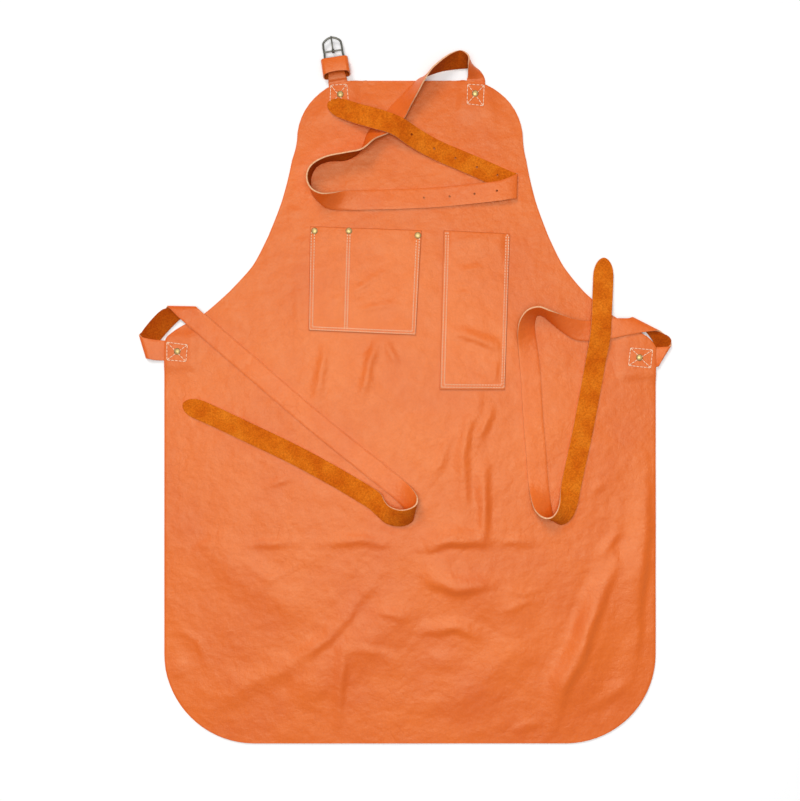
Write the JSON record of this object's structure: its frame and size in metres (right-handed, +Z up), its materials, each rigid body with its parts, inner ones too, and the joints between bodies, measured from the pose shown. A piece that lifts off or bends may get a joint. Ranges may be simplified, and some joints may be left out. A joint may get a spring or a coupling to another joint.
{
  "type": "leather grill apron",
  "caption": "Bib apron of thin smooth leather with sewn pockets, riveted tie straps and a buckled neck strap, lying flat with its straps loose on the front.",
  "frame": {"origin": "on the floor under the middle of the panel, at the panel's flat underside", "axes": "+Y from the hem to the neck, +X to the right seen from above, +Z up out of the grain side"},
  "size_m": [0.6469, 0.8565, 0.0251],
  "materials": {
    "panel_leather": "smooth semi-matt orange grain side, low wrinkles",
    "strap_leather": "smooth orange grain side, tan brown suede back",
    "dark_steel": "dark plated wire",
    "old_brass": "satin antique brass dome",
    "stitch_thread": "pale waxed thread"
  },
  "bodies": {
    "apron": {"apron_body": "panel_leather", "pocket_tools": "panel_leather", "pocket_tall": "panel_leather", "neck_strap": "strap_leather", "waist_strap_left": "strap_leather", "waist_strap_right": "strap_leather", "buckle_strap": "strap_leather", "keeper_loop": "strap_leather", "buckle_frame": "dark_steel", "rivet_neck_left": "old_brass", "rivet_neck_right": "old_brass", "rivet_waist_left": "old_brass", "rivet_waist_right": "old_brass", "rivet_pocket_left": "old_brass", "rivet_pocket_middle": "old_brass", "rivet_pocket_right": "old_brass"},
    "prong": {"buckle_prong": "dark_steel"}
  },
  "joints": [
    {"name": "prong_swing", "type": "hinge", "parent": "apron", "child": "prong", "pos_m": [-0.093, 0.437, 0.0051], "axis": [0.9885, 0.1513, 0], "range_deg": [0, 120]}
  ]
}
